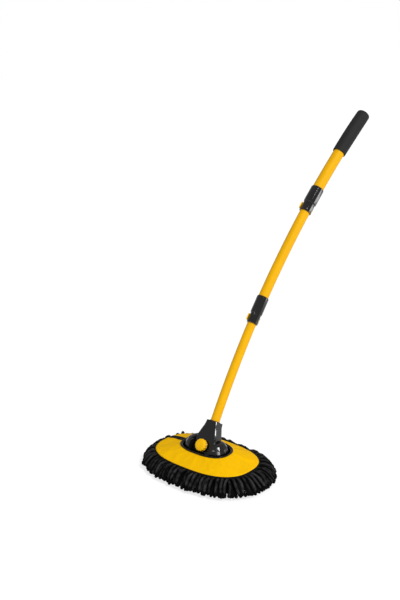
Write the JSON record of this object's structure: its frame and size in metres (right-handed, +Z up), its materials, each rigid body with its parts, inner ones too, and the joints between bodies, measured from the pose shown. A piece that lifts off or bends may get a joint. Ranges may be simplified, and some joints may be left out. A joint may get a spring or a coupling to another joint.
{
  "type": "car wash brush",
  "caption": "Long-handled wash brush: oval chenille mop head under a padded cover, tilting socket with clamp knob, bowed telescoping pole with flip locks and foam grip.",
  "frame": {"origin": "on the floor under the middle of the head, on the flat tip of the middle strand", "axes": "+X along the head's long axis, +Y the way the pole leans, +Z up"},
  "size_m": [0.3116, 0.6481, 0.7414],
  "materials": {
    "chenille": "matte",
    "sponge": "matte",
    "cover_fabric": "matte",
    "black_tape": "matte",
    "black_gloss": "gloss",
    "yellow_gloss": "gloss",
    "yellow_tube": "gloss",
    "grip_foam": "matte",
    "grey_plastic": "satin",
    "steel": "satin",
    "brass": "satin"
  },
  "bodies": {
    "head": {"noodle_pad_front_left": "chenille", "noodle_pad_front_right": "chenille", "noodle_pad_back_left": "chenille", "noodle_pad_back_right": "chenille", "foam_pad": "sponge", "base_plate": "black_gloss", "crown_foam": "sponge", "top_cover": "cover_fabric", "edge_binding": "black_tape", "slit_binding_front": "black_tape", "slit_binding_back": "black_tape", "slit_closure_strip": "black_tape", "swivel_bracket": "black_gloss", "hinge_pin": "steel", "bracket_screw_1": "steel", "bracket_screw_2": "steel", "bracket_screw_3": "steel", "bracket_screw_4": "steel"},
    "socket": {"pole_socket": "black_gloss", "threaded_insert": "brass", "socket_screw": "steel", "lower_tube": "yellow_tube", "lower_guide_bush": "grey_plastic"},
    "brake": {"brake_pad": "brass"},
    "knob": {"clamp_knob": "yellow_gloss", "clamp_stud": "steel"},
    "middle": {"mid_tube": "yellow_tube", "lower_lock_body": "black_gloss", "lower_lock_liner": "grey_plastic", "lower_lock_pin": "steel", "lower_lock_rivet": "steel", "mid_guide_bush": "grey_plastic"},
    "lower_lever": {"lower_lock_lever": "yellow_gloss"},
    "upper": {"upper_tube": "yellow_tube", "upper_lock_body": "black_gloss", "upper_lock_liner": "grey_plastic", "upper_lock_pin": "steel", "upper_lock_rivet": "steel", "end_plug": "grey_plastic", "foam_grip": "grip_foam"},
    "upper_lever": {"upper_lock_lever": "yellow_gloss"}
  },
  "joints": [
    {"name": "head_tilt", "type": "hinge", "parent": "head", "child": "socket", "pos_m": [0, 0, 0.05691], "axis": [-1, 0, 0], "range_deg": [-36, 32]},
    {"name": "pad_travel", "type": "slide", "parent": "socket", "child": "brake", "axis": [0, -0.8638, 0.5038], "range_m": [0, 0.00187]},
    {"name": "knob_turn", "type": "hinge", "parent": "brake", "child": "knob", "pos_m": [0, -0.019, 0.068], "axis": [0, -0.8638, 0.5038], "range_deg": [0, 540]},
    {"name": "lower_telescope", "type": "hinge", "parent": "socket", "child": "middle", "pos_m": [0.93892, 2.14164, -1.12607], "axis": [0.9336, -0.3096, 0.1805], "range_deg": [0, 4.81]},
    {"name": "lower_lever_flip", "type": "hinge", "parent": "middle", "child": "lower_lever", "pos_m": [0.00561, 0.17211, 0.30066], "axis": [-0.0331, -0.576, -0.8168], "range_deg": [0, 100]},
    {"name": "upper_telescope", "type": "hinge", "parent": "middle", "child": "upper", "pos_m": [0.93892, 2.14164, -1.12607], "axis": [0.9336, -0.3096, 0.1805], "range_deg": [0, 4.37]},
    {"name": "upper_lever_flip", "type": "hinge", "parent": "upper", "child": "upper_lever", "pos_m": [0.02063, 0.3481, 0.5226], "axis": [-0.0717, -0.6549, -0.7523], "range_deg": [0, 100]}
  ],
  "couplings": [
    {"joint": "pad_travel", "follows": "knob_turn", "m_per_rad": 0.00019894}
  ]
}
